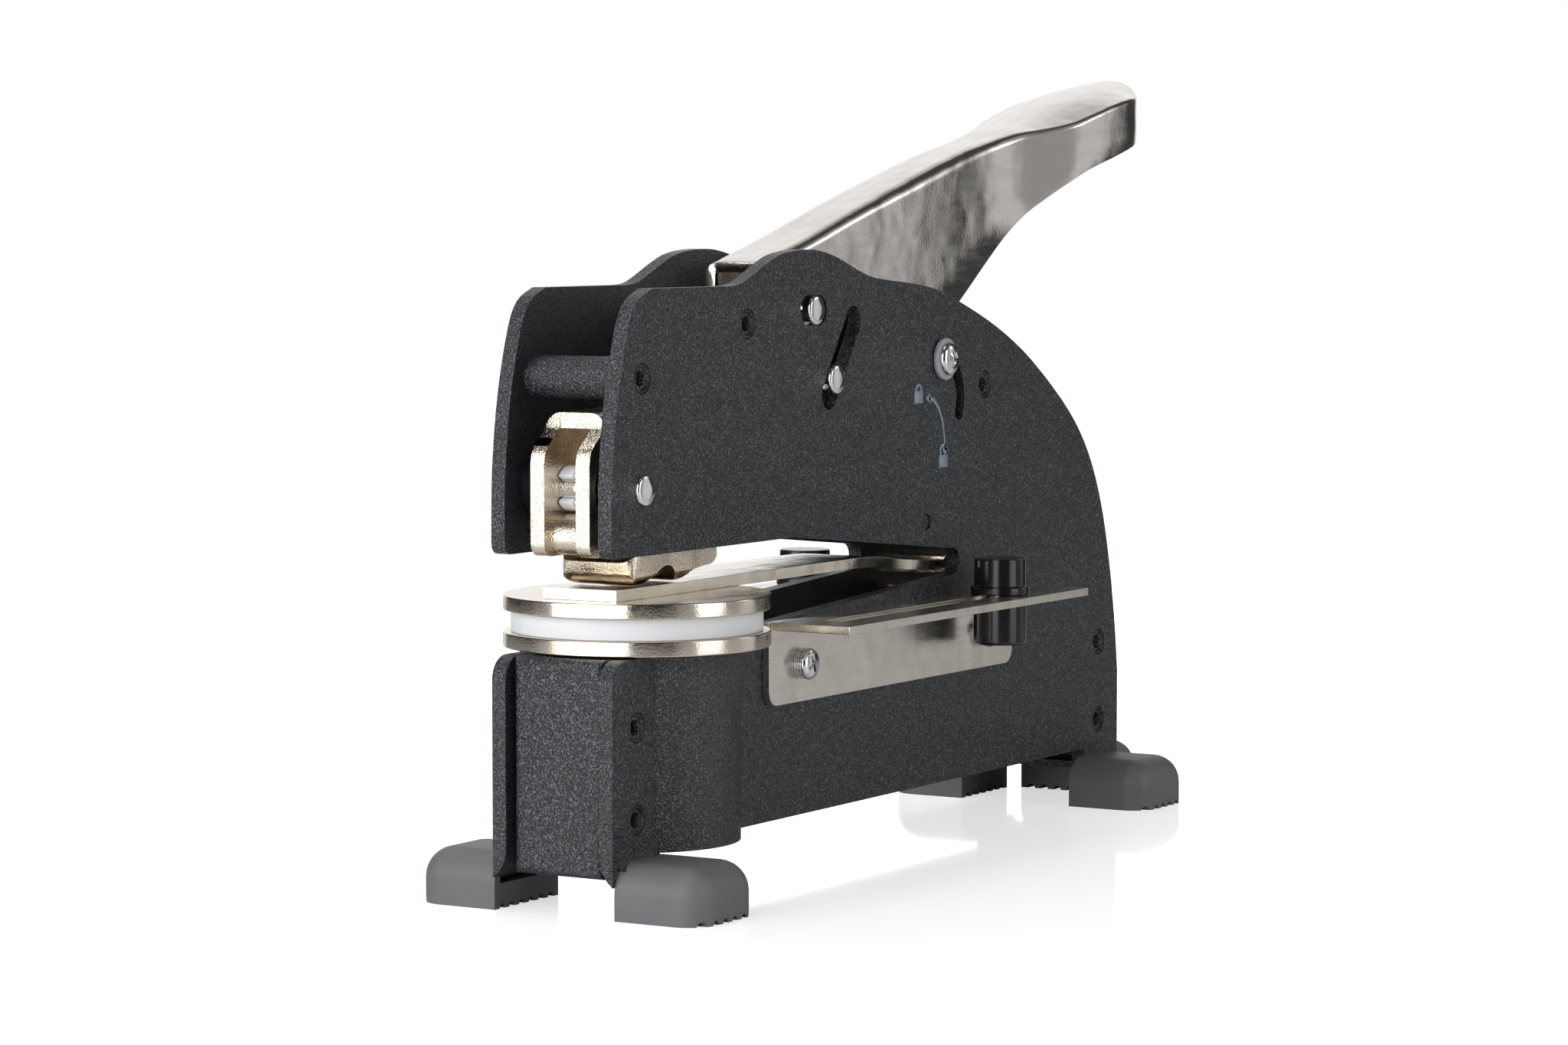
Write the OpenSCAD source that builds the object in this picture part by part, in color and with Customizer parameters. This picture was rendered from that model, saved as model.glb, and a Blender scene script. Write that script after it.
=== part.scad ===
// Desk seal embosser with two side plates, a double-slider handle and a leaf-spring die arm.
// Millimetres. The drawing axes stand on the die axis: X across the plates, Y to the rear, Z up.
// place() moves every piece to the frame whose origin is the middle of the footprint.

/* [Side plates] */
// Thickness of each side plate
plate_t = 3; // [2.5:0.25:3.5]
// Free width between the two side plates
gap = 20.6; // [19.6:0.2:22.6]
// Front edge of the plates, ahead of the die axis
front_y = 29.3; // [28.5:0.1:31]
// Rear edge of the plates, behind the die axis
rear_y = 177.3; // [176:0.5:182]
// Height of the straight top edge of the jaw
jaw_top_z = 115.9; // [115:0.1:118]
// Height of the lower edge of the jaw
jaw_low_z = 66.6; // [66.2:0.1:67.2]
// Height of the lower edge of the base
base_low_z = 11.9; // [11:0.1:12.5]
// Round end of the throat, behind the die axis
throat_y = 101; // [99:0.5:103]
// Outer radius of the half-round bulge about the die post
bulge_r = 19.7; // [19.4:0.1:20.5]

/* [Dies] */
// Diameter of the two die plates
die_d = 51; // [49:0.5:52]
// Thickness of each die plate
die_t = 2.9; // [2.5:0.1:3]
// Underside of the lower die plate
die_low_z = 48; // [47.8:0.1:48.4]
// Diameter of the white counter die
blank_d = 48; // [44:0.5:48.5]
// Thickness of the white counter die
blank_t = 4.1; // [3.8:0.1:4.3]

/* [Die arm] */
// Width of the leaf-spring die arm
arm_w = 16.5; // [14:0.5:18]
// Thickness of the leaf-spring die arm
arm_t = 2.2; // [1.8:0.1:2.4]
// Front end of the arm, ahead of the die axis
arm_front = 20; // [18:0.5:21]
// Radius of the anchor pin
anchor_r = 3; // [2.5:0.1:3.2]

/* [Pins and spacers] */
// Radius of the three main cross pins
pin_r = 3; // [2.8:0.05:3.1]
// Radius of the pins' necks where they run in the slots
neck_r = 2.3; // [2:0.05:2.35]
// Width of the two guide slots
slot_w = 5.9; // [5.8:0.05:6.2]
// Outer diameter of the spacer tubes
spacer_d = 8; // [7:0.25:9]
// Diameter of the spacers' riveted ends
tenon_d = 5.6; // [5:0.1:6]
// Diameter of the small cross pin above the throat
cross_pin_d = 3.2; // [3:0.1:4]
// Radial clearance of a running fit
fit = 0.05; // [0.03:0.01:0.08]

/* [Handle] */
// Outer width of the handle channel
handle_w = 13.8; // [13.4:0.1:14.4]
// Sheet thickness of the handle
handle_t = 2; // [1.6:0.1:2.2]
// Half width of the grip
grip_half = 13.3; // [12:0.1:15]
// Length of the grip's round end
grip_end = 18; // [16:0.5:20]

/* [Rocker and press shoe] */
// Outer width of the rocker channel
rocker_w = 13; // [12.6:0.1:13.2]
// Sheet thickness of the rocker
rocker_t = 3; // [2.8:0.1:3.1]
// Sheet thickness of the press shoe's cheeks
cheek_t = 1.6; // [1.4:0.1:1.6]
// Radius of the shoe pin
shoe_pin_r = 2.5; // [2.2:0.1:2.6]

/* [Paper guides] */
// Sheet thickness of the guide brackets
guide_t = 1.6; // [1.4:0.1:1.8]
// Reach of the guide table from the side plate
guide_reach = 18.9; // [18:0.1:20]
// Height of the guide table's upper face
guide_top_z = 50.9; // [50.7:0.1:51.1]
// Diameter of the clamp knob
knob_d = 11; // [10.5:0.1:11.4]
// Diameter of the screws that hold the brackets
screw_d = 3; // [2.5:0.5:3.5]

/* [Feet] */
// Width of a rubber foot, away from its plate
foot_w = 18.5; // [17:0.1:20]
// Length of a rubber foot along its plate
foot_l = 21.5; // [20.5:0.1:22.5]
// Height of a rubber foot
foot_h = 10.6; // [10.2:0.1:10.7]

/* [Hidden] */

$fn = 64;
eps = 0.01;
clear = 0.3;

// Colours
black_c = [0.16, 0.17, 0.19];
nickel_c = [0.80, 0.77, 0.72];
white_c = [0.93, 0.93, 0.94];
rubber_c = [0.36, 0.37, 0.38];
plastic_c = [0.10, 0.11, 0.14];

// Places that follow from the sizes above
half_gap = gap / 2;
outer_x = half_gap + plate_t;
handle_end_y = 180 + grip_end;
middle_y = (handle_end_y - front_y) / 2;
base_top_z = die_low_z - clear;
blank_z = die_low_z + die_t;
upper_die_z = blank_z + blank_t;
arm_low_z = upper_die_z + die_t;
arm_top_z = arm_low_z + arm_t;
bulge_inner_r = bulge_r - plate_t;
bulge_low_z = base_low_z - 1;
post_r = bulge_inner_r - fit;

// Pivot, slots and pins, as [y, z]
pivot = [-18.35, 78.7];
shoe_pivot = [0, 71];
slot_a_front = [41.5, 110.7];
slot_a_rear = [45.7, 110.7];
slot_b_low = [49.7, 93.9];
slot_b_high = [59.2, 108.3];
upper_pin_at = [43.7, 110.7];
lower_pin_at = [51.68, 96.9];
anchor = [109.5, 54.6];
cross_pin_at = [89.6, 66.3];
lock_axis = [95.8, 91.6];
lock_arm = 8;
lock_closed_a = 87;
lock_open_a = -23;
lock_slot_w = 3.4;
lock_shank_r = 1.5;
jaw_spacer_at = [-18.8, 99.4];
top_spacer_at = [18.7, 108.6];
rear_spacer_at = [114.4, 93.7];
cover_spacer_z = [17.8, 35];
cover_spacer_in = 8.4;
guide_screw_y = [36, 110.7];
guide_screw_z = 42;

// Feet and the bent tabs that carry them
tab_l = 15.9;
tab_reach = 11;
tab_low_z = 4.9;
tab_bend_r = base_low_z - tab_low_z - plate_t;
tab_side = 2.6;
foot_front_y = -front_y + 0.5;
foot_rear_y = rear_y - 1.9 - foot_l;
foot_corner_r = 4.5;
foot_top_r = 6;
groove_r = 0.9;
groove_pitch = 3.25;
// Nearest that a groove comes to the foot's ends
groove_margin = 2.4;

// ---- Points and curves ----

function arc(c, r, a0, a1, n = 8) =
    [for (i = [0:n]) c + r * [cos(a0 + (a1 - a0) * i / n), sin(a0 + (a1 - a0) * i / n)]];

function blend(a, b, c, d, t) =
    0.5 * (2 * b + (c - a) * t + (2 * a - 5 * b + 4 * c - d) * t * t
           + (3 * b - a - 3 * c + d) * t * t * t);

// A smooth line through every point of p, with n steps between neighbours
function through(p, n = 4) =
    concat([for (i = [0:len(p) - 2], k = [0:n - 1])
                blend(p[max(i - 1, 0)], p[i], p[i + 1], p[min(i + 2, len(p) - 1)], k / n)],
           [p[len(p) - 1]]);

function reversed(p) = [for (i = [len(p) - 1:-1:0]) p[i]];

function on_circle(c, r, a) = c + r * [cos(a), sin(a)];

// ---- Helpers ----

module place() {
    translate([0, -middle_y, 0]) children();
}

// A flat shape drawn in y and z, given the width w from x0 on
module across(x0, w) {
    translate([x0, 0, 0]) rotate([90, 0, 90]) linear_extrude(w) children();
}

// A round bar along x about the point at
module bar(at, r, x0, x1) {
    translate([x0, at[0], at[1]]) rotate([0, 90, 0]) cylinder(r = r, h = x1 - x0);
}

// A round body about the x axis, from a profile of [x, radius]
module turned(at, profile) {
    translate([0, at[0], at[1]]) rotate([0, 90, 0]) rotate([0, 0, 90])
        rotate_extrude() polygon([for (p = profile) [p[1], p[0]]]);
}

// A flat slot between two points, as a 2D shape
module slot_shape(a, b, w) {
    turn = atan2(b[1] - a[1], b[0] - a[0]);
    polygon(concat(arc(a, w / 2, turn + 90, turn + 270, 16), arc(b, w / 2, turn - 90, turn + 90, 16)));
}

module both_sides() {
    children();
    mirror([1, 0, 0]) children();
}

// ---- Side plates ----

jaw_front = through([[-front_y, 70], [-front_y + 0.35, 82.5], [-front_y + 2.2, 96],
                     [-front_y + 5.6, 108.2], [-front_y + 8.8, jaw_top_z - 2.4],
                     [-front_y + 14, jaw_top_z]]);
hump = through([[12, jaw_top_z], [17, jaw_top_z + 0.6], [25.5, 119.9], [31, 121.7], [38, 122.5],
                [45, 122.4], [52.5, 121], [60.4, 118.5], [67.2, 116.8], [75, jaw_top_z + 0.1]]);
back_edge = through([[81.4, 115.5], [92.6, 114.1], [103.2, 111.3], [120.4, 105.4], [136.1, 97.9],
                     [153.1, 86.7], [rear_y - 14.6, 76.9], [rear_y - 8.5, 65.8],
                     [rear_y - 4.6, 53.7], [rear_y - 1.6, 40], [rear_y, 28]]);
throat_r = 2.65;
throat_z = 57.5;

module plate_outline() {
    polygon(concat(
        [[-front_y, base_low_z]],
        arc([-front_y + 4.5, base_top_z - 4.5], 4.5, 180, 90),
        [[24, base_top_z], [24.6, 50.5]],
        arc([throat_y, throat_z], throat_r, -90, 90),
        [[36, jaw_low_z]],
        arc([-front_y + 2, jaw_low_z + 2], 2, 270, 180, 4),
        jaw_front, hump, back_edge,
        [[rear_y, base_low_z]]));
}

module lock_slot_shape() {
    r = lock_slot_w / 2;
    polygon(concat(
        arc(lock_axis, lock_arm + r, lock_open_a, lock_closed_a, 20),
        arc(on_circle(lock_axis, lock_arm, lock_closed_a), r, lock_closed_a + 15, lock_closed_a + 165, 10),
        arc(lock_axis, lock_arm - r, lock_closed_a, lock_open_a, 20),
        arc(on_circle(lock_axis, lock_arm, lock_open_a), r, lock_open_a - 165, lock_open_a - 15, 10)));
}

// Section of the tab that the plate runs out to, bent outwards to carry a rubber foot
module tab_section() {
    bend = [outer_x + tab_bend_r, tab_low_z + plate_t + tab_bend_r];
    polygon(concat(
        [[half_gap, bend[1] + 1]],
        arc(bend, tab_bend_r + plate_t, 180, 270, 10),
        [[outer_x + tab_reach, tab_low_z], [outer_x + tab_reach, tab_low_z + plate_t]],
        arc(bend, tab_bend_r, 270, 180, 10),
        [[outer_x, bend[1] + 1]]));
}

// The tab is as wide as its root only within the plate's thickness
module foot_tab(y0, dir) {
    low_y = dir > 0 ? y0 : y0 - tab_l;
    inner_y = dir > 0 ? y0 + tab_side : y0 - tab_l;
    translate([0, low_y + tab_l, 0]) rotate([90, 0, 0]) linear_extrude(tab_l) intersection() {
        tab_section();
        square([outer_x, 100]);
    }
    translate([0, inner_y + tab_l - tab_side, 0]) rotate([90, 0, 0])
        linear_extrude(tab_l - tab_side) tab_section();
}

module plate_holes() {
    across(half_gap - 1, plate_t + 2) {
        slot_shape(slot_a_front, slot_a_rear, slot_w);
        slot_shape(slot_b_low, slot_b_high, slot_w);
        lock_slot_shape();
    }
    for (at = [jaw_spacer_at, top_spacer_at, rear_spacer_at])
        bar(at, tenon_d / 2 + fit, half_gap - 1, outer_x + 1);
    for (y = [-front_y + cover_spacer_in, rear_y - cover_spacer_in - 1], z = cover_spacer_z)
        bar([y, z], tenon_d / 2 + fit, half_gap - 1, outer_x + 1);
    bar(pivot, pin_r + fit, half_gap - 1, outer_x + 1);
    bar(cross_pin_at, cross_pin_d / 2 + fit, half_gap - 1, outer_x + 1);
    bar(anchor, anchor_r + fit, half_gap - 1, half_gap + 1.2);
    bar(lock_axis, 2 + fit, half_gap - 1, half_gap + 1.2);
    for (y = guide_screw_y)
        bar([y, guide_screw_z], screw_d / 2 + fit, half_gap - 1, outer_x + 1);
}

module plate_right() {
    difference() {
        union() {
            across(half_gap, plate_t) plate_outline();
            intersection() {
                translate([0, 0, bulge_low_z])
                    cylinder(r = bulge_r, h = base_top_z - bulge_low_z, $fn = 128);
                translate([half_gap, -bulge_r, 0]) cube([bulge_r, 2 * bulge_r, 2 * base_top_z]);
            }
            foot_tab(-front_y, 1);
            foot_tab(rear_y, -1);
        }
        cylinder(r = bulge_inner_r, h = base_top_z + 1, $fn = 128);
        plate_holes();
    }
}

module side_plate_right() {
    color(black_c) place() plate_right();
}

module side_plate_left() {
    color(black_c) place() mirror([1, 0, 0]) plate_right();
}

// ---- Covers at the two ends of the base ----

cover_t = 1.5;
cover_half = half_gap - 0.4;
cover_low_z = 7;
cover_depth = 10;
cover_in = 1.5;

// A pressed tray with its back open, standing on its end between the plates
module cover_tray(y, dir) {
    h = base_top_z - cover_low_z;
    wall = [2 * cover_half, cover_depth, h];
    difference() {
        translate([-cover_half, dir > 0 ? y : y - cover_depth, cover_low_z]) cube(wall);
        translate([-cover_half + cover_t, dir > 0 ? y + cover_t : y - cover_depth - 1,
                   cover_low_z + cover_t])
            cube([wall[0] - 2 * cover_t, wall[1] - cover_t + 1, h - 2 * cover_t]);
        for (z = cover_spacer_z)
            bar([y + dir * (cover_spacer_in - cover_in), z], spacer_d / 2 + 0.1,
                -cover_half - 1, cover_half + 1);
    }
}

module front_cover() {
    color(black_c) place() cover_tray(-front_y + cover_in, 1);
}

// The rear cover also has a tab bent out at its foot, which carries the middle foot
module rear_cover() {
    y = rear_y - cover_in - 1;
    color(black_c) place() {
        cover_tray(y, -1);
        translate([-tab_l / 2, y - cover_t, cover_low_z]) cube([tab_l, tab_reach + 4, cover_t]);
    }
}

// ---- Cross spacers, riveted into both plates ----

module spacer(at) {
    face = outer_x - 0.35;
    dimple = 1.3;
    turned(at, [[-face, 0], [-face, tenon_d / 2], [-half_gap, tenon_d / 2], [-half_gap, spacer_d / 2],
                [half_gap, spacer_d / 2], [half_gap, tenon_d / 2], [face, tenon_d / 2],
                [face, dimple], [face - dimple / 2, 0]]);
}

module jaw_spacer() {
    color(black_c) place() spacer(jaw_spacer_at);
}

module top_spacer() {
    color(black_c) place() spacer(top_spacer_at);
}

module rear_spacer() {
    color(black_c) place() spacer(rear_spacer_at);
}

module front_base_spacers() {
    color(black_c) place() for (z = cover_spacer_z) spacer([-front_y + cover_spacer_in, z]);
}

module rear_base_spacers() {
    color(black_c) place() for (z = cover_spacer_z) spacer([rear_y - cover_spacer_in - 1, z]);
}

// ---- Die post and dies ----

module anvil_post() {
    wall = 4;
    color(black_c) place() difference() {
        translate([0, 0, base_low_z + 2]) cylinder(r = post_r, h = die_low_z - base_low_z - 2, $fn = 128);
        translate([0, 0, base_low_z]) cylinder(r = post_r - wall, h = 24);
        translate([0, 0, base_low_z]) cylinder(r = 2.5 + fit, h = 60);
    }
}

module die_plate(z, hole_r) {
    chamfer = 0.3;
    r = die_d / 2;
    translate([0, 0, z]) rotate_extrude($fn = 160)
        polygon([[hole_r, 0], [r - chamfer, 0], [r, chamfer], [r, die_t - chamfer],
                 [r - chamfer, die_t], [hole_r, die_t]]);
}

module lower_die() {
    color(nickel_c) place() die_plate(die_low_z, 2.5 + fit);
}

module lower_die_screw() {
    color(nickel_c) place() translate([0, 0, die_low_z - 8]) cylinder(r = 2.5, h = 8 + die_t - 0.2);
}

module die_blank() {
    color(white_c) place() translate([0, 0, blank_z]) cylinder(d = blank_d, h = blank_t, $fn = 160);
}

upper_screw_y = [-8, 8];

module upper_die() {
    color(nickel_c) place() difference() {
        die_plate(upper_die_z, 0);
        for (y = upper_screw_y)
            translate([0, y, upper_die_z + 0.8]) cylinder(r = 1.5 + fit, h = die_t);
    }
}

// Short rivets that join the arm to the upper die, flush with the arm
module upper_die_screws() {
    color(nickel_c) place() for (y = upper_screw_y)
        translate([0, y, upper_die_z + 0.8]) cylinder(r = 1.5, h = arm_top_z - upper_die_z - 0.85);
}

// ---- Leaf-spring arm, with an eye that turns on the anchor pin ----

eye_r = anchor_r + 1.3;
arm_line = through([[60, arm_top_z], [76, arm_top_z - 0.2], [90, arm_top_z - 1.7],
                    [anchor[0] - 3, anchor[1] + 2.6]]);

module die_arm() {
    top = concat([[-arm_front, arm_top_z]], arm_line);
    low = [for (p = reversed(top)) p - [0, arm_t]];
    color(nickel_c) place() difference() {
        union() {
            across(-arm_w / 2, arm_w) polygon(concat(top, low));
            bar(anchor, eye_r, -arm_w / 2, arm_w / 2);
        }
        bar(anchor, anchor_r + fit, -arm_w, arm_w);
        for (y = upper_screw_y)
            translate([0, y, arm_low_z - 1]) cylinder(r = 1.5 + fit, h = arm_t + 2);
    }
}

module arm_anchor_pin() {
    color(nickel_c) place() bar(anchor, anchor_r, -half_gap - 1, half_gap + 1);
}

module cross_pin() {
    color(black_c) place() bar(cross_pin_at, cross_pin_d / 2, -outer_x + 0.5, outer_x - 0.5);
}

// ---- Front pivot ----

module pivot_pin() {
    proud = 0.9;
    x0 = outer_x;
    color(nickel_c) place() turned(pivot, [
        [-x0 - proud, 0], [-x0 - proud, pin_r - 1.2], [-x0 - proud + 0.35, pin_r - 0.3], [-x0, pin_r],
        [x0, pin_r], [x0 + proud - 0.35, pin_r - 0.3], [x0 + proud, pin_r - 1.2], [x0 + proud, 0]]);
}

bush_r = 4.3;
bush_slit = 3.3;

// Two split nylon sleeves on the pivot pin, between the rocker's legs
module pivot_bushes() {
    inner = rocker_w / 2 - rocker_t - 0.1;
    color(white_c) place() both_sides() difference() {
        bar(pivot, bush_r, 0.12, inner);
        bar(pivot, pin_r + fit, -1, inner + 1);
        translate([-1, pivot[0] - 2 * bush_r, pivot[1] - bush_slit / 2])
            cube([inner + 2, 2 * bush_r, bush_slit]);
    }
}

module pivot_washers() {
    color(plastic_c) place() both_sides() difference() {
        bar(pivot, 5.9, rocker_w / 2 + 0.2, half_gap);
        bar(pivot, pin_r + fit, 0, half_gap + 1);
    }
}

// ---- Rocker: a folded channel in front and a tail blade that the handle drives ----

blade_half = rocker_w / 2 - rocker_t;
tail_turn = atan2(lower_pin_at[1] - pivot[1], lower_pin_at[0] - pivot[0]);
tail_reach = norm(lower_pin_at - pivot);
tail_slot_l = 6.4;
tail_slot_r = pin_r + 0.7;
tail_at = on_circle(pivot, tail_reach - 0.3, tail_turn - 0.15);
tail_end = on_circle(pivot, tail_reach + tail_slot_l, tail_turn - 0.15);

rocker_low_z = jaw_low_z - 0.3;
// The curved web that ties the legs together at their lower front
rocker_lip = through([[-19.4, rocker_low_z], [-22.8, rocker_low_z + 0.5], [-24.5, 68.8],
                      [-24.3, 71.2], [-22.7, 73.2], [-20.2, 74.1]]);

module rocker_leg_shape() {
    difference() {
        polygon(concat(
            through([[-26.3, 83.4], [-25.6, 86], [-23.2, 88.2], [-21.3, 90], [-20.8, 92.9]], 3),
            [[24, 94.6], [30, 93.5]],
            [[30, 84], [8, 74.5]],
            arc(shoe_pivot, 4.6, 10, -150, 8),
            [[-6, 68.8], [-16.5, 68.8], [-18.5, rocker_low_z]],
            arc([-23.9, rocker_low_z + 2.4], 2.4, 270, 180, 4)));
        translate(pivot) circle(r = pin_r + fit);
        translate(shoe_pivot) circle(r = shoe_pin_r + fit);
    }
}

module rocker_blade_shape() {
    difference() {
        polygon(concat(
            through([[6, 76], [28, 84], [44, 89.5], [55, 91]]),
            arc(tail_end + [0.4, 0], 6.8, -70, 80, 10),
            through([[51, 103.2], [44, 100.8], [37, 96.8], [28, 93.4], [6, 91.5]])));
        slot_shape(tail_at, tail_end, 2 * tail_slot_r);
    }
}

module rocker() {
    joined = blade_half + 1;
    color(nickel_c) place() {
        both_sides() across(blade_half, rocker_t) rocker_leg_shape();
        across(-joined, 2 * joined)
            polygon([[-20.8, 90], [-20.8, 92.9], [24, 94.6], [24, 91.6]]);
        across(-joined, 2 * joined)
            polygon(concat(rocker_lip, [[-18.9, 73.6], [-21.2, 72.3], [-22.4, 70.4], [-22.5, 69.2],
                                        [-21.6, 68.4], [-19.4, 68]]));
        across(-joined, 2 * joined) intersection() {
            rocker_leg_shape();
            rocker_blade_shape();
        }
        across(-blade_half, 2 * blade_half) rocker_blade_shape();
    }
}

// ---- Press shoe: a folded trough whose rippled underside presses on the arm ----

shoe_half = rocker_w / 2 + 0.3 + cheek_t;
shoe_front = -14.7;
shoe_rear = 15.2;
shoe_low_z = arm_top_z + 0.15;
shoe_sole = through([[shoe_front, shoe_low_z + 4.5], [shoe_front + 0.7, shoe_low_z + 2.2],
                     [shoe_front + 2.3, shoe_low_z + 0.5], [shoe_front + 4.4, shoe_low_z],
                     [shoe_front + 6.4, shoe_low_z + 0.6], [shoe_front + 8.8, shoe_low_z + 2.2],
                     [-3.8, shoe_low_z + 3.2], [-1.6, shoe_low_z + 3.3], [0, shoe_low_z + 2.4],
                     [1.5, shoe_low_z + 0.8], [3.4, shoe_low_z], [5.2, shoe_low_z + 0.8],
                     [7, shoe_low_z + 1.9], [10.5, shoe_low_z + 2.4], [13.6, shoe_low_z + 2.7],
                     [shoe_rear, shoe_low_z + 4]], 3);

// Side view of the shoe; lift moves the sole up and back moves the ends in
module shoe_side(lift, back) {
    polygon(concat(
        arc(shoe_pivot, 4.8, 150, 30, 8),
        [[13.2, 69.2], [shoe_rear - back, 66.8]],
        [for (p = reversed(shoe_sole)) [min(max(p[0], shoe_front + back), shoe_rear - back), p[1] + lift]],
        [[shoe_front + back + 3.2, 67.2 + lift], [shoe_front + back, 65.6 + lift]]));
}

module shoe_plan(wall) {
    r = 3 - wall;
    w = shoe_half - wall;
    polygon(concat(
        arc([-w + r, shoe_front + wall + r], r, 180, 270, 5),
        arc([w - r, shoe_front + wall + r], r, 270, 360, 5),
        [[w, shoe_rear + 5], [-w, shoe_rear + 5]]));
}

module shoe_section(wall) {
    r = 3 - wall;
    w = shoe_half - wall;
    polygon(concat(
        arc([-w + r, shoe_low_z + wall + r], r, 180, 270, 5),
        arc([w - r, shoe_low_z + wall + r], r, 270, 360, 5),
        [[w, 90], [-w, 90]]));
}

module shoe_block(wall) {
    intersection() {
        across(-shoe_half, 2 * shoe_half) {
            shoe_side(wall, wall);
            if (wall > 0) translate([shoe_front + wall, 66]) square([shoe_rear - shoe_front - 2 * wall, 20]);
        }
        linear_extrude(100) shoe_plan(wall);
        translate([0, shoe_rear + 10, 0]) rotate([90, 0, 0]) linear_extrude(60) shoe_section(wall);
    }
}

module press_shoe() {
    color(nickel_c) place() difference() {
        shoe_block(0);
        shoe_block(cheek_t);
        bar(shoe_pivot, shoe_pin_r + fit, -shoe_half - 1, shoe_half + 1);
    }
}

module shoe_pin() {
    color(nickel_c) place() bar(shoe_pivot, shoe_pin_r, -shoe_half - 0.6, shoe_half + 0.6);
}

// ---- Handle: a pressed channel, open below, that widens into a grip ----

grip_y = handle_end_y - grip_end;
handle_front_y = 36.2;
// Outside radius of the flank about the lower pin
lower_eye_r = 7.4;
// Height that the plan's walls are drawn to, above the whole handle
plan_h = 2 * lower_pin_at[1];
handle_top = through([[handle_front_y, 120.2], [54, 124.9], [76, 131], [95, 136.2], [108, 139.6],
                      [121, 142.6], [134, 145], [143, 146.9], [152, 148.8], [160, 150.9],
                      [168, 153.1], [176, 155.2], [185, 157.3], [193, 158.9], [handle_end_y, 159.4]]);
handle_low = through([[handle_end_y, 146.9], [191, 145.7], [176, 142.1], [160.5, 138], [147, 131.6],
                      [138, 125.8], [128, 118.9], [116.3, 111.3], [104, 104.2], [90, 97.5],
                      [75, 92.2], [62, 89.6]]);
grip_side = through([[handle_w / 2, 137], [handle_w / 2 + 0.5, 143], [handle_w / 2 + 2.9, 150],
                     [grip_half - 1.2, 158], [grip_half - 0.3, 167], [grip_half, 175],
                     [grip_half, grip_y]]);

module handle_side(drop, open) {
    polygon(concat(
        [for (p = handle_top) p - [0, drop]],
        [for (p = handle_low) p - [0, open]],
        arc(lower_pin_at - [0, open], lower_eye_r, -80, -200, 6),
        [[38.6, 106 - open], [handle_front_y, 112 - open]]));
}

// Plan of the handle, less a wall of the given thickness
module handle_plan(wall) {
    side = [for (p = grip_side) p - [wall, 0]];
    tip = [for (i = [1:12]) [(grip_half - wall) * cos(i * 7.5), grip_y + (grip_end - wall) * sin(i * 7.5)]];
    right = concat([[handle_w / 2 - wall, handle_front_y - 10]], side, tip);
    polygon(concat(right, reversed([for (p = right) [-p[0], p[1]]])));
}

module handle() {
    drop = handle_t / cos(16);
    color(nickel_c) place() difference() {
        intersection() {
            across(-grip_half - 1, 2 * grip_half + 2) handle_side(0, 0);
            linear_extrude(plan_h) handle_plan(0);
        }
        intersection() {
            across(-grip_half - 1, 2 * grip_half + 2) union() {
                handle_side(drop, 20);
                translate([handle_front_y - 8, 60]) square([8.5, handle_top[0][1] - drop - 60]);
            }
            linear_extrude(plan_h) handle_plan(handle_t);
        }
        bar(upper_pin_at, pin_r + fit, -handle_w, handle_w);
        bar(lower_pin_at, pin_r + fit, -handle_w, handle_w);
    }
}

// Pins with necks in the plates' slots and heads outside them
module slider_pin(at) {
    shoulder = half_gap - 0.25;
    head_x = outer_x + 0.2;
    proud = 0.75;
    head_r = pin_r - 0.05;
    turned(at, [[-head_x - proud, 0], [-head_x - proud, head_r - 1], [-head_x - proud + 0.3, head_r],
                [-head_x, head_r], [-head_x, neck_r], [-shoulder, neck_r], [-shoulder, pin_r],
                [shoulder, pin_r], [shoulder, neck_r], [head_x, neck_r], [head_x, head_r],
                [head_x + proud - 0.3, head_r], [head_x + proud, head_r - 1], [head_x + proud, 0]]);
}

module upper_pin() {
    color(nickel_c) place() slider_pin(upper_pin_at);
}

module lower_pin() {
    color(nickel_c) place() slider_pin(lower_pin_at);
}

// ---- Lock: a lever inside the right plate, moved by a stud in a curved slot ----

lever_x0 = handle_w / 2 + 1.2;
lever_x1 = half_gap - 0.3;
stud_at = on_circle(lock_axis, lock_arm, lock_closed_a);
washer_t = 1;
washer_r = 4.3;
stud_head_r = 3.4;
stud_head_t = 1.5;

module lock_lever() {
    color(nickel_c) place() difference() {
        across(lever_x0, lever_x1 - lever_x0) {
            translate(lock_axis) circle(r = 4.4);
            translate(stud_at) circle(r = 3.4);
            translate(lock_axis) rotate(lock_closed_a) translate([0, -3.4]) square([lock_arm, 6.8]);
            translate(lock_axis) rotate(lock_closed_a + 90) translate([0, -2.5]) square([9, 5]);
        }
        bar(lock_axis, 2 + fit, 0, half_gap);
        bar(stud_at, lock_shank_r, 0, half_gap);
    }
}

module lock_stud() {
    head_x = outer_x + 0.1 + washer_t;
    color(nickel_c) place() turned(stud_at, [
        [lever_x0, 0], [lever_x0, lock_shank_r], [head_x, lock_shank_r], [head_x, stud_head_r],
        [head_x + stud_head_t * 0.5, stud_head_r], [head_x + stud_head_t * 0.85, stud_head_r - 0.7],
        [head_x + stud_head_t, stud_head_r - 1.8], [head_x + stud_head_t, 0]]);
}

module lock_washer() {
    color(white_c) place() difference() {
        bar(stud_at, washer_r, outer_x + 0.1, outer_x + 0.1 + washer_t);
        bar(stud_at, lock_shank_r, outer_x, outer_x + 3);
    }
}

module lock_pivot() {
    color(nickel_c) place() turned(lock_axis, [
        [lever_x0 - 0.45, 0], [lever_x0 - 0.45, 3.2], [lever_x0 - 0.1, 3.2], [lever_x0 - 0.1, 2],
        [half_gap + 1, 2], [half_gap + 1, 0]]);
}

// ---- Paper guides ----

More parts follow.
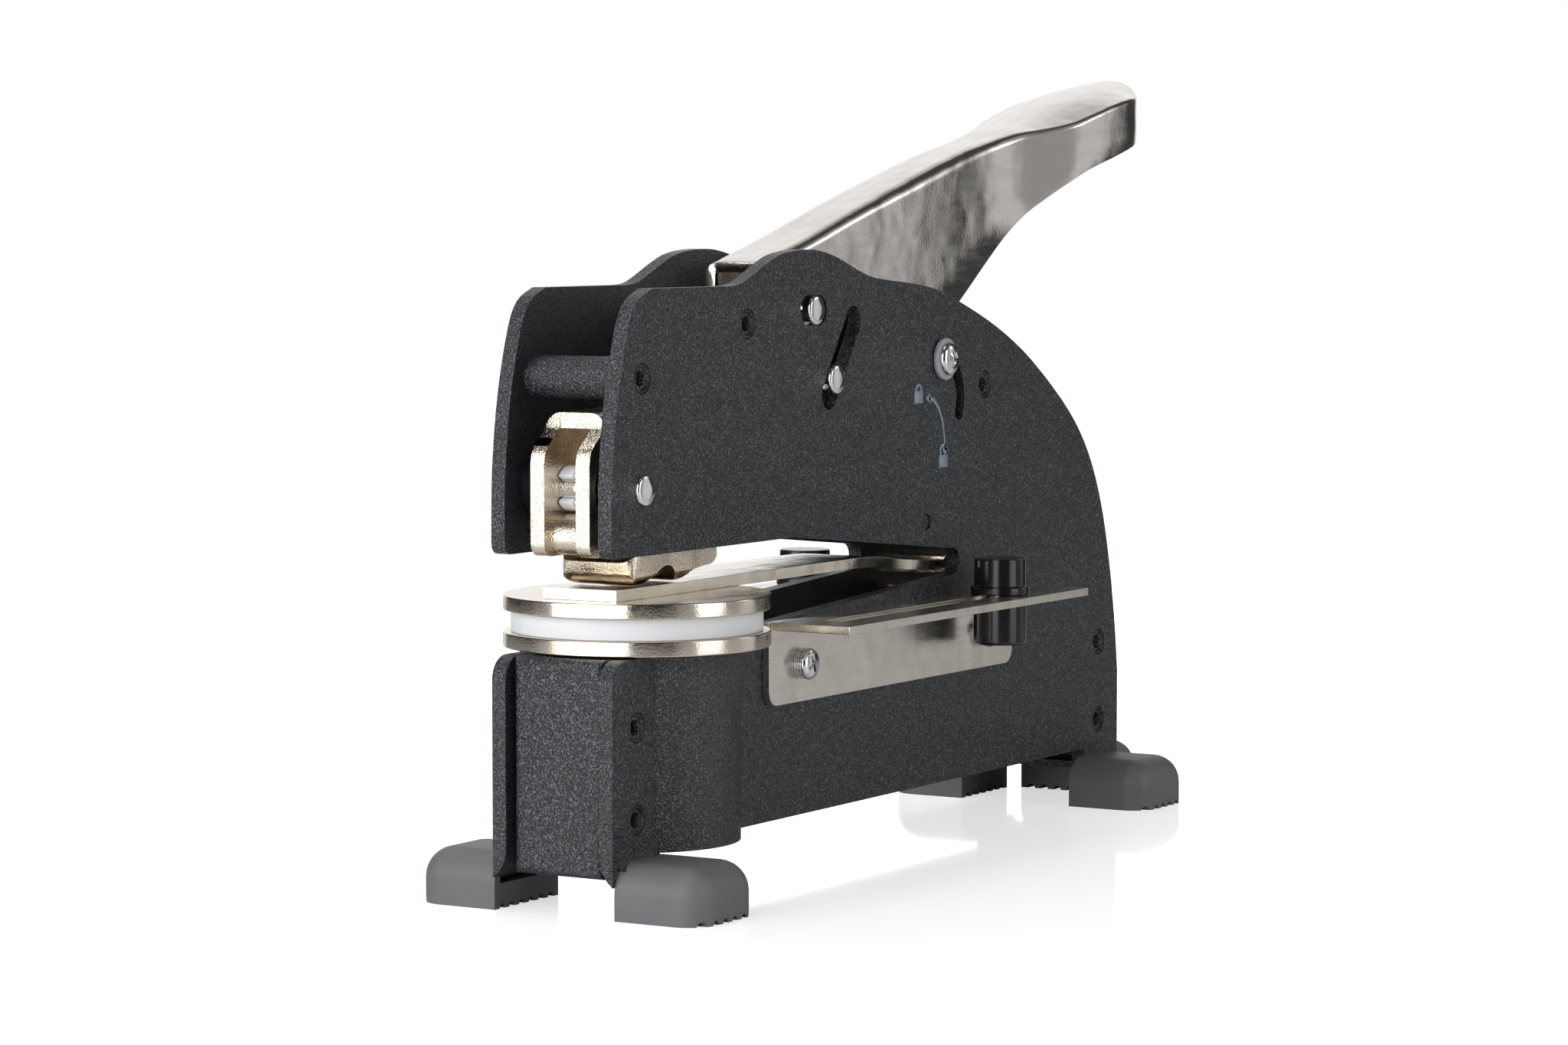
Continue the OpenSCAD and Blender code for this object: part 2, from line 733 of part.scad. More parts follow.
guide_y0 = 24.9;
guide_y1 = 125.6;
guide_low_z = 34.5;
guide_corner = 3;
guide_outer = outer_x + guide_reach;
knob_x = outer_x + 10.1;
knob_y = 102.5;
knob_slot_w = 4.4;
knob_slot_y = [35.2, 114.8];

module guide_bracket_shape() {
    rear = guide_y1 - 1.5;
    difference() {
        union() {
            across(outer_x, guide_t) polygon(concat(
                [[guide_y0 - 1, guide_top_z], [guide_y0 - 1, guide_low_z + guide_corner]],
                arc([guide_y0 - 1 + guide_corner, guide_low_z + guide_corner], guide_corner, 180, 270, 6),
                arc([rear - guide_corner, guide_low_z + guide_corner], guide_corner, 270, 360, 6),
                [[rear, guide_top_z]]));
            translate([outer_x, guide_y0, guide_top_z - guide_t])
                cube([guide_reach, guide_y1 - guide_y0, guide_t]);
        }
        for (y = guide_screw_y)
            bar([y, guide_screw_z], screw_d / 2 + 0.2, outer_x - 1, outer_x + guide_t + 1);
        translate([knob_x, 0, guide_top_z - guide_t - 1]) linear_extrude(guide_t + 2)
            slot_shape([0, knob_slot_y[0]], [0, knob_slot_y[1]], knob_slot_w);
    }
}

module guide_bracket_right() {
    color(nickel_c) place() guide_bracket_shape();
}

module guide_bracket_left() {
    color(nickel_c) place() mirror([1, 0, 0]) guide_bracket_shape();
}

guide_washer_t = 0.7;

module guide_screws() {
    head_x = outer_x + guide_t + guide_washer_t;
    head_r = screw_d + 0.05;
    color(nickel_c) place() both_sides() for (y = guide_screw_y) difference() {
        turned([y, guide_screw_z], [
            [half_gap + 0.2, 0], [half_gap + 0.2, screw_d / 2], [head_x, screw_d / 2], [head_x, head_r],
            [head_x + 1.1, head_r], [head_x + 1.55, head_r - 0.7], [head_x + 1.75, head_r - 1.7],
            [head_x + 1.75, 0]]);
        for (a = [0, 90]) translate([head_x + 1, y, guide_screw_z]) rotate([a + 20, 0, 0])
            translate([0, -1.7, -0.35]) cube([1, 3.4, 0.7]);
    }
}

module guide_washers() {
    x0 = outer_x + guide_t;
    color(nickel_c) place() both_sides() for (y = guide_screw_y) difference() {
        bar([y, guide_screw_z], screw_d + 0.15, x0, x0 + guide_washer_t);
        bar([y, guide_screw_z], screw_d / 2 + 0.1, x0 - 1, x0 + 2);
    }
}

knob_flange_t = 1.7;
knob_cap_h = 7.4;
knob_nut_h = 8.6;

// The knob has a flange that clamps on the table and a cap with one flat side
module knob_cap_shape() {
    difference() {
        union() {
            translate([knob_x, knob_y, guide_top_z]) cylinder(d = knob_d + 1.2, h = knob_flange_t);
            translate([knob_x, knob_y, guide_top_z]) cylinder(d = knob_d - 0.4, h = knob_cap_h);
        }
        translate([knob_x, knob_y, guide_top_z - 1]) cylinder(r = 2, h = knob_cap_h - 0.8);
    }
}

module knob_stud_shape() {
    translate([knob_x, knob_y, guide_top_z - guide_t - knob_nut_h + 2])
        cylinder(r = 2, h = knob_nut_h - 2 + guide_t + knob_cap_h - 2);
}

module knob_nut_shape() {
    difference() {
        translate([knob_x, knob_y, guide_top_z - guide_t - knob_nut_h]) rotate_extrude()
            polygon([[0, 0], [knob_d / 2 - 0.8, 0], [knob_d / 2, 0.8], [knob_d / 2, knob_nut_h],
                     [0, knob_nut_h]]);
        translate([knob_x, knob_y, guide_top_z - guide_t - knob_nut_h + 2]) cylinder(r = 2, h = knob_nut_h);
    }
}

module knob_cap_right() {
    color(plastic_c) place() knob_cap_shape();
}

module knob_stud_right() {
    color(nickel_c) place() knob_stud_shape();
}

module knob_nut_right() {
    color(plastic_c) place() knob_nut_shape();
}

module knob_cap_left() {
    color(plastic_c) place() mirror([1, 0, 0]) knob_cap_shape();
}

module knob_stud_left() {
    color(nickel_c) place() mirror([1, 0, 0]) knob_stud_shape();
}

module knob_nut_left() {
    color(plastic_c) place() mirror([1, 0, 0]) knob_nut_shape();
}

// ---- Rubber feet ----

// A cap with its open face at x = 0: three profiles crossed give the rounded corners
module foot_cap() {
    r = foot_corner_r;
    t = foot_top_r;
    w = foot_w;
    l = foot_l;
    h = foot_h;
    intersection() {
        linear_extrude(h) polygon(concat(
            [[0, 0]], arc([w - r, r], r, 270, 360, 6), arc([w - r, l - r], r, 0, 90, 6), [[0, l]]));
        rotate([90, 0, 0]) translate([0, 0, -l]) linear_extrude(l) polygon(concat(
            [[0, h], [0, 0], [w, 0]], arc([w - t, h - t], t, 0, 90, 8)));
        rotate([90, 0, 90]) linear_extrude(w) polygon(concat(
            [[0, 0], [l, 0]], arc([l - t, h - t], t, 0, 90, 8), arc([t, h - t], t, 90, 180, 8)));
    }
}

module foot_grooves() {
    n = 1 + floor((foot_l - 2 * groove_margin) / groove_pitch);
    for (i = [0:n - 1]) translate([-1, foot_l / 2 + (i - (n - 1) / 2) * groove_pitch, 0])
        rotate([0, 90, 0]) cylinder(r = groove_r, h = foot_w + 2, $fn = 24);
}

// The pocket follows the bent tab; tab0 and tab1 are the tab's ends along the foot
module side_foot(tab0, tab1) {
    c = 0.15;
    bend_x = tab_bend_r;
    bend_z = tab_low_z + plate_t + tab_bend_r;
    difference() {
        foot_cap();
        foot_grooves();
        translate([-1, tab0 - c, tab_low_z - c])
            cube([tab_reach + 1 + c, tab1 - tab0 + 2 * c, plate_t + 2 * c]);
        difference() {
            translate([-1, tab0 - c, tab_low_z - c])
                cube([bend_x + 1, tab1 - tab0 + 2 * c, foot_h]);
            translate([bend_x, tab0 - 1, bend_z]) rotate([-90, 0, 0])
                cylinder(r = tab_bend_r - c, h = tab1 - tab0 + 2);
            translate([bend_x - tab_bend_r + c, tab0 - 1, bend_z]) cube([tab_bend_r, foot_l, foot_h]);
        }
    }
}

front_tab = [-front_y + tab_side - foot_front_y, -front_y + tab_l - foot_front_y];
rear_tab = [rear_y - tab_l - foot_rear_y, rear_y - tab_side - foot_rear_y];

// A front foot that reaches as high as the bulge's underside gives way to it
module front_foot() {
    difference() {
        translate([outer_x, foot_front_y, 0]) side_foot(front_tab[0], front_tab[1]);
        translate([0, 0, bulge_low_z - 0.15]) cylinder(r = bulge_r + 0.15, h = foot_h, $fn = 128);
    }
}

module foot_front_right() {
    color(rubber_c) place() front_foot();
}

module foot_front_left() {
    color(rubber_c) place() mirror([1, 0, 0]) front_foot();
}

module foot_rear_right() {
    color(rubber_c) place() translate([outer_x, foot_rear_y, 0]) side_foot(rear_tab[0], rear_tab[1]);
}

module foot_rear_left() {
    color(rubber_c) place() mirror([1, 0, 0]) translate([outer_x, foot_rear_y, 0])
        side_foot(rear_tab[0], rear_tab[1]);
}

module foot_rear_middle() {
    c = 0.15;
    color(rubber_c) place() translate([foot_l / 2, rear_y, 0]) rotate([0, 0, 90]) difference() {
        foot_cap();
        foot_grooves();
        translate([-1, (foot_l - tab_l) / 2 - c, cover_low_z - c])
            cube([tab_reach + 1.4, tab_l + 2 * c, cover_t + 2 * c]);
    }
}

side_plate_right();
side_plate_left();
front_cover();
rear_cover();
jaw_spacer();
top_spacer();
rear_spacer();
front_base_spacers();
rear_base_spacers();
anvil_post();
lower_die();
lower_die_screw();
die_blank();
upper_die();
upper_die_screws();
die_arm();
arm_anchor_pin();
cross_pin();
pivot_pin();
pivot_bushes();
pivot_washers();
rocker();
press_shoe();
shoe_pin();
handle();
upper_pin();
lower_pin();
lock_lever();
lock_stud();
lock_washer();
lock_pivot();
guide_bracket_right();
guide_bracket_left();
guide_screws();
guide_washers();
knob_cap_right();
knob_stud_right();
knob_nut_right();
knob_cap_left();
knob_stud_left();
knob_nut_left();
foot_front_right();
foot_front_left();
foot_rear_right();
foot_rear_left();
foot_rear_middle();
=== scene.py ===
# Desk seal embosser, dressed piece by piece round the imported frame.
import math

import bmesh
import bpy
from mathutils import Matrix, Vector


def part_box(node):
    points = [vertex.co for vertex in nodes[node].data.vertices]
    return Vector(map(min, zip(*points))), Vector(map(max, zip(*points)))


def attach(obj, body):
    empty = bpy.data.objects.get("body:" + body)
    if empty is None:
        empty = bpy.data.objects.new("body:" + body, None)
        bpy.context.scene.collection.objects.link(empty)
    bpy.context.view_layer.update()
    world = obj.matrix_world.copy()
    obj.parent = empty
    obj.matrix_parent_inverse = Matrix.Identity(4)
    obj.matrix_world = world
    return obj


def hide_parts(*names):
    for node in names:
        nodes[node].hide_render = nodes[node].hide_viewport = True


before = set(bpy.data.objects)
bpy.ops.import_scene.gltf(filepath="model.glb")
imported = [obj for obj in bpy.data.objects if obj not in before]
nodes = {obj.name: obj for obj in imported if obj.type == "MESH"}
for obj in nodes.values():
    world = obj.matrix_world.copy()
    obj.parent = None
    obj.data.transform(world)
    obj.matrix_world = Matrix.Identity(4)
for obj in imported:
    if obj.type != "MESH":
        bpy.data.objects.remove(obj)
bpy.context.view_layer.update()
scene = bpy.context.scene
MM = 0.001

# ---------------------------------------------------------------------------
# Camera: a long lens low in front of the embosser, 31 degrees round to the lock's
# side. Here and below, sizes in Y are counted from the dies' axis.
die_low, die_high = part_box("lower_die")
die_y = (die_low.y + die_high.y) / 2
CAMERA_AT = (0.45525, -0.71039, 0.13168)
LOOKS_DOWN, LOOKS_ROUND = 4.10, 30.76
camera_data = bpy.data.cameras.new("camera")
camera_data.lens = 102.42
camera_data.sensor_width = 36
camera_data.clip_start = 0.05
camera_data.clip_end = 20
camera = bpy.data.objects.new("camera", camera_data)
camera.location = (CAMERA_AT[0], die_y + CAMERA_AT[1], CAMERA_AT[2])
camera.rotation_euler = (math.radians(90 - LOOKS_DOWN), 0, math.radians(LOOKS_ROUND))
scene.collection.objects.link(camera)
scene.camera = camera
scene.view_settings.view_transform = "Standard"


# ---------------------------------------------------------------------------
# Room: white behind the object between two black flags, with pale walls on the lock's
# side and darkness about the camera. The camera sees white, and the metal mirrors this.
def node_in(tree, kind, inputs=(), **settings):
    """A shader node with its settings and input values or links"""
    node = tree.nodes.new(kind)
    for key, value in settings.items():
        setattr(node, key, value)
    for key, value in dict(inputs).items():
        if isinstance(value, bpy.types.NodeSocket):
            tree.links.new(value, node.inputs[key])
        else:
            node.inputs[key].default_value = value
    return node


def reckon(tree, operation, *values):
    """The outcome of one step of arithmetic on numbers or sockets"""
    return node_in(tree, "ShaderNodeMath", enumerate(values), operation=operation).outputs[0]


def blend(tree, amount, first, second):
    """A colour that goes from the first to the second as the amount goes from 0 to 1"""
    inputs = {"Factor": amount, "A": first, "B": second}
    return node_in(tree, "ShaderNodeMix", inputs, data_type="RGBA").outputs["Result"]


def spread(tree, value, low, high, start=0.0, end=1.0, curve="LINEAR"):
    """A value that goes from low to high as another goes from start to end"""
    inputs = {"Value": value, "From Min": start, "From Max": end, "To Min": low, "To Max": high}
    return node_in(tree, "ShaderNodeMapRange", inputs, interpolation_type=curve).outputs[0]


# Levels by azimuth in degrees from +X, then the ceiling's level and the heights it fades in between
ROOM = [(-180, 0.05), (-160, 0.06), (-132, 0.35), (-67, 0.4), (-60, 0.03), (-27, 0.03), (-20, 0.3),
        (40, 0.34), (47, 0.62), (60.5, 0.62), (64, 0.04), (96, 0.05), (101, 1.0), (146, 1.0),
        (152, 0.05), (180, 0.05)]
CEILING, CEILING_FROM, CEILING_FULL = 0.07, 0.42, 0.9
world = bpy.data.worlds.new("studio")
world.use_nodes = True
scene.world = world
sky = world.node_tree
direction = node_in(sky, "ShaderNodeTexCoord")
split = node_in(sky, "ShaderNodeSeparateXYZ", {0: direction.outputs["Generated"]})
azimuth = reckon(sky, "ARCTAN2", split.outputs["Y"], split.outputs["X"])
turn = reckon(sky, "MULTIPLY_ADD", azimuth, 1 / (2 * math.pi), 0.5)
around = node_in(sky, "ShaderNodeValToRGB", {0: turn})
stops = around.color_ramp.elements
stops.remove(stops[1])
for i, (degrees, amount) in enumerate(ROOM):
    stop = stops[0] if i == 0 else stops.new(degrees / 360 + 0.5)
    stop.position = degrees / 360 + 0.5
    stop.color = (amount, amount, amount, 1)
up = spread(sky, split.outputs["Z"], 0.0, 1.0, CEILING_FROM, CEILING_FULL, "SMOOTHSTEP")
room = blend(sky, up, around.outputs["Color"], (CEILING, CEILING, CEILING, 1))
path = node_in(sky, "ShaderNodeLightPath")
seen = reckon(sky, "MAXIMUM", path.outputs["Is Camera Ray"], path.outputs["Is Transmission Ray"])
shown = blend(sky, seen, room, (1, 1, 1, 1))
sky.links.new(shown, sky.nodes["Background"].inputs["Color"])

# ---------------------------------------------------------------------------
# Lamps: a large soft box in front, strips beside it and by the handle, and one above.
# Each hangs at an azimuth from +X, and sizes are in metres.
AIM_HIGHEST = 0.3


def soft_box(name, azimuth, distance, height, size, radiance):
    """A rectangular lamp of one radiance that faces the object"""
    data = bpy.data.lights.new(name, "AREA")
    data.shape = "RECTANGLE"
    data.size, data.size_y = size
    data.energy = math.pi * radiance * size[0] * size[1]
    lamp = bpy.data.objects.new(name, data)
    turned_by = math.radians(azimuth)
    lamp.location = (distance * math.cos(turned_by), distance * math.sin(turned_by), height)
    aim = Vector((0, 0, min(height, AIM_HIGHEST))) - lamp.location
    lamp.rotation_euler = aim.to_track_quat("-Z", "Y").to_euler()
    lamp.visible_camera = False
    scene.collection.objects.link(lamp)


soft_box("front_softbox", azimuth=-98, distance=0.62, height=0.3, size=(0.7, 0.6), radiance=2.5)
soft_box("side_strip", azimuth=0, distance=0.62, height=0.3, size=(0.3, 0.6), radiance=1.7)
soft_box("handle_strip", azimuth=50, distance=0.8, height=0.42, size=(0.22, 0.22), radiance=1.6)
soft_box("top_softbox", azimuth=200, distance=0.25, height=0.95, size=(0.5, 0.5), radiance=3.0)


# ---------------------------------------------------------------------------
# Floor: a round of glossy white board, as wide as the camera needs. It shines more
# towards its edge, so that it runs into the white behind it.
def new_material(name):
    """A node material, its tree and its Principled shader"""
    material = bpy.data.materials.new(name)
    material.use_nodes = True
    tree = material.node_tree
    return material, tree, tree.nodes["Principled BSDF"]


FLOOR_R = 0.62
GLOW_NEAR, GLOW_FAR, GLOW_FROM, GLOW_TO = 0.62, 1.05, 0.1, 0.4
floor_mesh = bpy.data.meshes.new("floor")
floor_bm = bmesh.new()
bmesh.ops.create_circle(floor_bm, cap_ends=True, segments=96, radius=FLOOR_R)
floor_bm.to_mesh(floor_mesh)
floor_bm.free()
floor = bpy.data.objects.new("floor", floor_mesh)
scene.collection.objects.link(floor)
floor_material, tree, shader = new_material("white_board")
shader.inputs["Base Color"].default_value = (0.9, 0.9, 0.9, 1)
shader.inputs["Roughness"].default_value = 0.07
place = node_in(tree, "ShaderNodeTexCoord")
reach = node_in(tree, "ShaderNodeVectorMath", {0: place.outputs["Object"]}, operation="LENGTH")
glow = spread(tree, reach.outputs["Value"], GLOW_NEAR, GLOW_FAR, GLOW_FROM, GLOW_TO, "SMOOTHSTEP")
path = node_in(tree, "ShaderNodeLightPath")
shown_glow = reckon(tree, "MULTIPLY", path.outputs["Is Camera Ray"], glow)
white = node_in(tree, "ShaderNodeEmission", {"Color": (1, 1, 1, 1), "Strength": shown_glow})
both = node_in(tree, "ShaderNodeAddShader", {0: shader.outputs[0], 1: white.outputs[0]})
tree.links.new(both.outputs[0], tree.nodes["Material Output"].inputs["Surface"])
floor_mesh.materials.append(floor_material)


# ---------------------------------------------------------------------------
# Side plates: 3 mm steel, punched, half-round about the die post, with the foot
# tabs bent out, then powder coated in a black wrinkle finish that rounds each edge.
def noise(tree, scale, detail, over=None, **more):
    """The level of a noise, over the piece in its own space or over another vector"""
    if over is None:
        over = node_in(tree, "ShaderNodeTexCoord").outputs["Object"]
    inputs = {"Vector": over, "Scale": scale, "Detail": detail, **more}
    return node_in(tree, "ShaderNodeTexNoise", inputs).outputs["Fac"]


def bump(tree, height, strength, depth):
    """A normal that follows a height"""
    inputs = {"Height": height, "Strength": strength, "Distance": depth}
    return node_in(tree, "ShaderNodeBump", inputs).outputs[0]


def wire(tree, shader, leads):
    """Leads values that change over the surface to the shader's sockets"""
    for socket, value in leads.items():
        tree.links.new(value, shader.inputs[socket])


# Wrinkles are leathery cells with finer grains on them. The grains are glossier, and their lighter grey is a
# painted highlight, a painted glint on each grain
coat, tree, shader = new_material("wrinkle_coat")
cells = noise(tree, scale=1500.0, detail=2.0, Roughness=0.6, Distortion=0.6)
fine = noise(tree, scale=3500.0, detail=1.0)
wrinkles = node_in(tree, "ShaderNodeMix", {"Factor": 0.35, "A": cells, "B": fine}, data_type="FLOAT")
grains_and_painted_glints = spread(tree, fine, 0.0, 1.0, 0.54, 0.66, "SMOOTHSTEP")
shader.inputs["Specular IOR Level"].default_value = 0.65
wire(tree, shader, {
    # The lighter grey on the grains is painted glint, not the coat's own colour, which is the near-black
    "Base Color": blend(tree, grains_and_painted_glints, (0.004, 0.0050, 0.0075, 1), (0.135, 0.145, 0.172, 1)),
    "Roughness": spread(tree, grains_and_painted_glints, 0.40, 0.22),
    "Normal": bump(tree, wrinkles.outputs[0], strength=1.0, depth=0.0005)})


def round_edges(bm, edges, radius, segments, clamp=True):
    """Rounds the chosen edges of a body by a radius in mm, in place"""
    bmesh.ops.bevel(bm, geom=edges, offset=radius * MM, offset_type="OFFSET", segments=segments,
                    profile=0.5, affect="EDGES", clamp_overlap=clamp, material=-1)
    return bm


def soften(bm, radius, segments=3, sharp=30):
    """Rounds the edges that turn by more than the sharp angle, in place"""
    edges = [e for e in bm.edges if e.is_manifold and e.calc_face_angle(0) > math.radians(sharp)]
    return round_edges(bm, edges, radius, segments)


def make_flat(bm):
    """Takes out the edges inside flat faces"""
    bmesh.ops.dissolve_limit(bm, angle_limit=math.radians(0.3), verts=bm.verts, edges=bm.edges)
    return bm


def solid_of(node):
    """A merged copy of a CAD node's mesh, with its flat faces whole"""
    bm = bmesh.new()
    bm.from_mesh(nodes[node].data)
    bmesh.ops.remove_doubles(bm, verts=bm.verts, dist=1e-6)
    return make_flat(bm)


def make_piece(bm, name, body, slot, material, *stands_for, crease=38):
    """Turns a bmesh into a finished piece that rides on a body and stands for CAD nodes"""
    mesh = bpy.data.meshes.new(name)
    for face in bm.faces:
        face.smooth = True
    for edge in bm.edges:
        if edge.is_manifold and edge.calc_face_angle(0) > math.radians(crease):
            edge.smooth = False
    bm.to_mesh(mesh)
    bm.free()
    mesh.materials.append(material)
    piece = bpy.data.objects.new(name, mesh)
    scene.collection.objects.link(piece)
    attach(piece, body)
    if stands_for:
        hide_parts(*stands_for)
    even = piece.modifiers.new("even_shading", "WEIGHTED_NORMAL")
    even.keep_sharp = True
    return piece


SIDES = ("right", "left")
for side in SIDES:
    plate = soften(solid_of(f"side_plate_{side}"), radius=0.55)
    make_piece(plate, f"coated_plate_{side}", "frame", "black_coat", coat, f"side_plate_{side}")

# ---------------------------------------------------------------------------
# Base covers: thin steel trays with bent ends, held between the plates at the front
# and the rear of the base, and coated like them.
BEND_R, SHORTEST_BEND = 1.9, 15


def outer_bends(tray, outward):
    """A tray's long edges between its end wall and the faces that run inwards from it"""
    bends = []
    for edge in tray.edges:
        facing = [face.normal.y * outward for face in edge.link_faces]
        long_enough = edge.calc_length() > SHORTEST_BEND * MM
        if edge.is_manifold and max(facing) > 0.9 and min(facing) < 0.1 and long_enough:
            bends.append(edge)
    return bends


for node, outward in (("front_cover", -1), ("rear_cover", 1)):
    tray = solid_of(node)
    round_edges(tray, outer_bends(tray, outward), BEND_R, segments=5, clamp=False)
    soften(tray, radius=0.3, segments=2, sharp=40)
    make_piece(tray, f"coated_{node}", "frame", "black_coat", coat, node)


# ---------------------------------------------------------------------------
# Cross spacers: turned steel bars whose thin ends are riveted over in the plates,
# with a drilled dimple, and coated together with them.
def turned(profile, steps=48):
    """A closed round body about the X axis from its half profile of (along, radius), in mm"""
    bm = bmesh.new()
    verts = [bm.verts.new((along * MM, radius * MM, 0)) for along, radius in profile]
    edges = [bm.edges.new(pair) for pair in zip(verts, verts[1:])]
    bmesh.ops.spin(bm, geom=verts + edges, cent=(0, 0, 0), axis=(1, 0, 0), angle=2 * math.pi,
                   steps=steps, use_merge=True, use_duplicate=False)
    bmesh.ops.remove_doubles(bm, verts=bm.verts, dist=1e-7)
    bmesh.ops.recalc_face_normals(bm, faces=bm.faces)
    return bm


def mirrored_profile(half):
    """A whole profile from its half on the +X side"""
    return [(-along, radius) for along, radius in reversed(half)] + half


def swing(bm, angle, axis):
    """Turns a body about an axis through the origin, in place"""
    bmesh.ops.rotate(bm, verts=bm.verts, cent=(0, 0, 0), matrix=Matrix.Rotation(angle, 3, axis))
    return bm


def shift(bm, x, y, z):
    """Moves a body by mm, in place"""
    bmesh.ops.translate(bm, verts=bm.verts, vec=(x * MM, y * MM, z * MM))
    return bm


def put(bm, x, y, z, upright=False, mirrored=False):
    """Turns a body upright from the X axis if asked, moves it to its place and mirrors it in X"""
    if upright:
        swing(bm, -math.pi / 2, "Y")
    bmesh.ops.translate(bm, verts=bm.verts, vec=(x * MM, y * MM + die_y, z * MM))
    if mirrored:
        bmesh.ops.scale(bm, verts=bm.verts, vec=(-1, 1, 1))
        bmesh.ops.reverse_faces(bm, faces=bm.faces)
    return bm


def joined(parts):
    """One bmesh from several"""
    whole = bmesh.new()
    for bm in parts:
        mesh = bpy.data.meshes.new("part")
        bm.to_mesh(mesh)
        bm.free()
        whole.from_mesh(mesh)
        bpy.data.meshes.remove(mesh)
    return whole


# The plates' inner and outer faces, and each spacer's places in (y, z)
INNER_X, OUTER_X = 10.3, 13.3
SPACERS = {"jaw_spacer": [(-18.8, 99.4)], "top_spacer": [(18.7, 108.6)], "rear_spacer": [(114.4, 93.7)],
           "front_base_spacers": [(-20.9, 17.8), (-20.9, 35)],
           "rear_base_spacers": [(167.9, 17.8), (167.9, 35)]}


def spacer_bar():
    """A bar between the plates with a riveted, dimpled end on each side"""
    end = OUTER_X - 0.1
    half = [(INNER_X, 4.0), (INNER_X, 2.8), (end - 0.25, 2.8), (end + 0.02, 2.62), (end + 0.02, 2.4),
            (end - 0.5, 2.05), (end - 0.5, 1.5), (end - 1.9, 1.15), (end - 2.0, 0)]
    return turned(mirrored_profile(half), 40)


for node, places in SPACERS.items():
    bars = [put(spacer_bar(), 0, y, z) for y, z in places]
    make_piece(joined(bars), f"coated_{node}", "frame", "black_coat", coat, node)

# ---------------------------------------------------------------------------
# Dies: two nickel-plated discs with a white plastic counter die between them, on a
# post that fills the plates' bulges. The upper disc is riveted to the spring arm.
handled = bpy.data.node_groups.new("handled_metal", "ShaderNodeTree")
handled.interface.new_socket("Waves", in_out="INPUT", socket_type="NodeSocketFloat").default_value = 1.0
for label in ("Height", "Smear"):
    handled.interface.new_socket(label, in_out="OUTPUT", socket_type="NodeSocketFloat")
entry, leave = handled.nodes.new("NodeGroupInput"), handled.nodes.new("NodeGroupOutput")
own_space = node_in(handled, "ShaderNodeTexCoord").outputs["Object"]
stretch = node_in(handled, "ShaderNodeMapping", {"Vector": own_space, "Scale": (1.0, 0.12, 1.0)})
waves = noise(handled, scale=110.0, detail=1.0, Distortion=0.2)
pores = noise(handled, scale=2600.0, detail=2.0)
smear = noise(handled, scale=420.0, detail=4.0, over=stretch.outputs[0], Roughness=0.65)
wave_part = reckon(handled, "MULTIPLY", waves, entry.outputs["Waves"])
height = reckon(handled, "MULTIPLY_ADD", pores, 0.1, wave_part)
handled.links.new(height, leave.inputs["Height"])
handled.links.new(smear, leave.inputs["Smear"])


def plated(name, color, shine, dull, waves=1.0, strength=0.5, depth=0.0004):
    """A plated metal whose roughness wanders from shine to dull, with faint waves in its surface"""
    material, tree, shader = new_material(name)
    surface = node_in(tree, "ShaderNodeGroup", {"Waves": waves}, node_tree=handled)
    smear = surface.outputs["Smear"]
    darker = tuple(0.86 * c for c in color)
    wire(tree, shader, {
        "Base Color": blend(tree, smear, (*color, 1), (*darker, 1)),
        "Roughness": spread(tree, smear, shine, dull, 0.3, 0.7),
        "Normal": bump(tree, surface.outputs["Height"], strength, depth)})
    shader.inputs["Metallic"].default_value = 1.0
    return material


nickel = plated("warm_nickel", (0.80, 0.725, 0.62), shine=0.07, dull=0.20)

nylon, tree, shader = new_material("white_nylon")
cloud = noise(tree, scale=90.0, detail=3.0)
wire(tree, shader, {
    "Base Color": blend(tree, cloud, (0.80, 0.81, 0.84, 1), (0.88, 0.89, 0.91, 1)),
    "Roughness": spread(tree, cloud, 0.3, 0.42)})

DISC_R, BLANK_R, DISC_THICK, BLANK_THICK = 25.5, 24.0, 2.9, 4.1
for node, low_z, radius, thick, body, slot, material in (
        ("lower_die", 48.0, DISC_R, DISC_THICK, "frame", "nickel_plate", nickel),
        ("die_blank", 50.9, BLANK_R, BLANK_THICK, "frame", "white_nylon", nylon),
        ("upper_die", 55.0, DISC_R, DISC_THICK, "die_arm", "nickel_plate", nickel)):
    disc = soften(turned([(0, 0), (0, radius), (thick, radius), (thick, 0)], 160), radius=0.28)
    make_piece(put(disc, 0, 0, low_z, upright=True), f"{node}_disc", body, slot, material, node)

# ---------------------------------------------------------------------------
# Spring arm: a strip of plated spring steel, rolled into an eye at its rear, where
# the anchor pin holds it. It carries the upper die.
strip = soften(solid_of("die_arm"), radius=0.25, segments=2)
make_piece(strip, "spring_arm", "die_arm", "nickel_plate", nickel, "die_arm")

# ---------------------------------------------------------------------------
# Rocker: a channel folded from nickel-plated sheet, with a tail blade. It hangs on
# the front pivot between the plates' jaws.
CHANNEL_HALF, FOLD_R, TOP_FRONT, TOP_TILT = 6.5, 3.2, (-20.8, 92.9), math.radians(2.17)
FOLD_START, FOLD_END, BAR_START, BAR_END = -3.2, 52, -5, 60
rough_nickel = plated("tumbled_nickel", (0.82, 0.725, 0.59), shine=0.10, dull=0.26, waves=0.4,
                      strength=1.0, depth=0.0011)


def cut_away(bm, cutter, operation="DIFFERENCE"):
    """One bmesh less the other, or what both share; both are used up"""
    objects = []
    for part, label in ((bm, "stock"), (cutter, "cutter")):
        mesh = bpy.data.meshes.new(label)
        part.to_mesh(mesh)
        part.free()
        ob = bpy.data.objects.new(label, mesh)
        scene.collection.objects.link(ob)
        objects.append(ob)
    cut = objects[0].modifiers.new("cut", "BOOLEAN")
    cut.operation = operation
    cut.solver = "EXACT"
    cut.object = objects[1]
    result = bmesh.new()
    result.from_object(objects[0], bpy.context.evaluated_depsgraph_get())
    for ob in objects:
        mesh = ob.data
        bpy.data.objects.remove(ob)
        bpy.data.meshes.remove(mesh)
    return result


